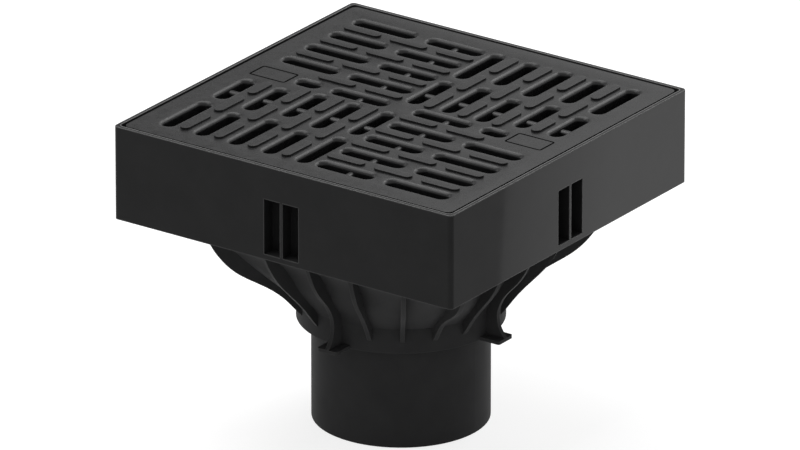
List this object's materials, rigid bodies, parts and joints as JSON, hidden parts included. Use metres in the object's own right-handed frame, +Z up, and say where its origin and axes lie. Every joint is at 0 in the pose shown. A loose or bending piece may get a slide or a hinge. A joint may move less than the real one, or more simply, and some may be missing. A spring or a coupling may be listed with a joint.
{
  "type": "point drain",
  "caption": "Square point drain with a slotted grate resting in its collar, a ribbed square-to-round funnel below and a plain round spigot for the drain pipe.",
  "frame": {"origin": "centre of the outlet spigot's lower end", "axes": "+Z up along the outlet's axis, -Y out of the side that is at the left in the picture, +X out of the side at the right"},
  "size_m": [0.25, 0.25, 0.2017],
  "materials": {
    "moulding": "fine moulded matte",
    "casting": "black coated casting"
  },
  "bodies": {
    "root": {"drain_body": "moulding", "grate": "casting"}
  },
  "joints": []
}
